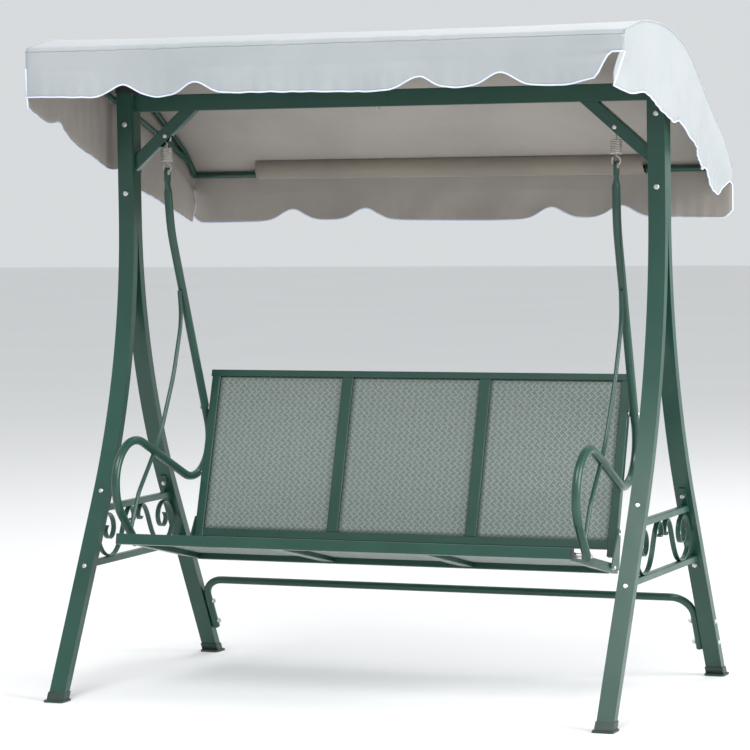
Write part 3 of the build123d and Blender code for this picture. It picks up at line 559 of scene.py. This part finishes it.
# ---------------------------------------------------------------- slings
TUCK = 0.005            # how far each sling runs on under the rails at its ends
SLING_SAG = {"seat": 0.007, "back": 0.004}
SLING_STEPS = (28, 30)  # across and along


def sling(kind, name):
    """A taut mesh panel over its CAD plate, drawn in a little between its rails."""
    node = NODES[f"{kind}_sling_{name}"]
    verts = [v.co for v in node.data.vertices]
    x0, x1 = min(v.x for v in verts), max(v.x for v in verts)
    low = min(verts, key=lambda v: v.z)
    high = max(verts, key=lambda v: v.z)
    along = Vector((0, high.y - low.y, high.z - low.z))
    normal = Vector((0, along.z, -along.y)).normalized()
    # the corners near the lowest one in thickness; the farthest of them gives the plate's long direction
    same_side = [v for v in verts if abs((v - low).dot(normal)) < 0.01]
    centre = sum(same_side, Vector()) / len(same_side)
    edge = max(same_side, key=lambda v: (v - low).length_squared if abs(v.x - low.x) < 0.01 else 0)
    v_dir = Vector((0, edge.y - low.y, edge.z - low.z))
    length = v_dir.length + 2 * TUCK
    v_dir.normalize()
    n_dir = Vector((1, 0, 0)).cross(v_dir)
    start = Vector((0, low.y, low.z)) + n_dir * ((centre - low).dot(n_dir)) - v_dir * TUCK
    # a seat dips away from the sitter and a back gives to the rear
    away = (1 if kind == "seat" else -1) * (1 if n_dir.z > 0 else -1)
    nu, nv = SLING_STEPS
    bm = bmesh.new()
    layer = bm.loops.layers.uv.new("UVMap")
    rows, uvs = [], []
    for j in range(nv + 1):
        b = j / nv
        row, uv = [], []
        for i in range(nu + 1):
            a = i / nu
            x = x0 + (x1 - x0) * a
            dip = SLING_SAG[kind] * math.sin(math.pi * b) ** 0.8
            dip *= 0.35 + 0.65 * math.sin(math.pi * a)
            dip *= (a * (1 - a) * 4) ** 0.4
            p = start + v_dir * (length * b) + Vector((x, 0, 0))
            row.append(p - n_dir * (dip * away))
            uv.append((x, length * b))
        rows.append(row)
        uvs.append(uv)
    grid(bm, layer, rows, uvs)
    bmesh.ops.recalc_face_normals(bm, faces=bm.faces)
    obj = new_object(f"{kind}_mesh_{name}", bm, [sling_mat])
    thicken(obj, SLING_THICKNESS, offset=0)
    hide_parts(f"{kind}_sling_{name}")
    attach(obj, "seat")


for part in ("left", "middle", "right"):
    sling("seat", part)
    sling("back", part)


# ---------------------------------------------------------------- camera, floor and light
WORLD_COLOUR, WORLD_STRENGTH = (0.95, 0.98, 1.0), 0.72
FLOOR_COLOUR, FLOOR_SIZE = grey(0.84), 40
LIGHT_SIZE = 4.0
CAM_AT = Vector((3.4493, -8.364, 1.4378))
CAM_YAW, CAM_PITCH, CAM_ROLL = 0.3958, 0.0621, -0.0142
LENS, SENSOR = 155.05, 36.0
SHIFT = (0.0023, 0.0049)

ahead = Vector((-math.sin(CAM_YAW) * math.cos(CAM_PITCH), math.cos(CAM_YAW) * math.cos(CAM_PITCH),
                -math.sin(CAM_PITCH)))
level_right = Vector((math.cos(CAM_YAW), math.sin(CAM_YAW), 0))
level_up = level_right.cross(ahead)
right = level_right * math.cos(CAM_ROLL) + level_up * math.sin(CAM_ROLL)
up = level_up * math.cos(CAM_ROLL) - level_right * math.sin(CAM_ROLL)
cam_data = bpy.data.cameras.new("camera")
cam_data.lens = LENS
cam_data.sensor_width = SENSOR
cam_data.shift_x, cam_data.shift_y = SHIFT
cam = bpy.data.objects.new("camera", cam_data)
bpy.context.scene.collection.objects.link(cam)
axes = Matrix((right, up, -ahead)).transposed()
cam.matrix_world = Matrix.Translation(CAM_AT) @ axes.to_4x4()
bpy.context.scene.camera = cam

bm = bmesh.new()
bmesh.ops.create_grid(bm, x_segments=8, y_segments=8, size=FLOOR_SIZE)
floor_mat = simple("floor", FLOOR_COLOUR, 0.85, vary=0.01, scale=0.6, grain=40, grain_depth=0.0002)
floor = new_object("floor", bm, [floor_mat], smooth=False)

world = bpy.data.worlds.new("world")
bpy.context.scene.world = world
world.use_nodes = True
background = world.node_tree.nodes["Background"]
background.inputs[0].default_value = (*WORLD_COLOUR, 1)
background.inputs[1].default_value = WORLD_STRENGTH
bpy.context.scene.view_settings.view_transform = "Standard"


def softbox(name, at, towards, power):
    """A round area light at one point, turned towards another."""
    light = bpy.data.lights.new(name, "AREA")
    light.shape = "DISK"
    light.size = LIGHT_SIZE
    light.energy = power
    obj = bpy.data.objects.new(name, light)
    obj.location = at
    obj.rotation_euler = (Vector(towards) - Vector(at)).to_track_quat("-Z", "Y").to_euler()
    bpy.context.scene.collection.objects.link(obj)


softbox("key", (7.0, -0.5, 3.2), (0, 0, 0.9), 480)
softbox("front_top", (0.5, -5.0, 6.5), (0, 0, 0.9), 380)
softbox("rear_top", (0.5, 4.0, 6.0), (0, 0, 1.0), 130)
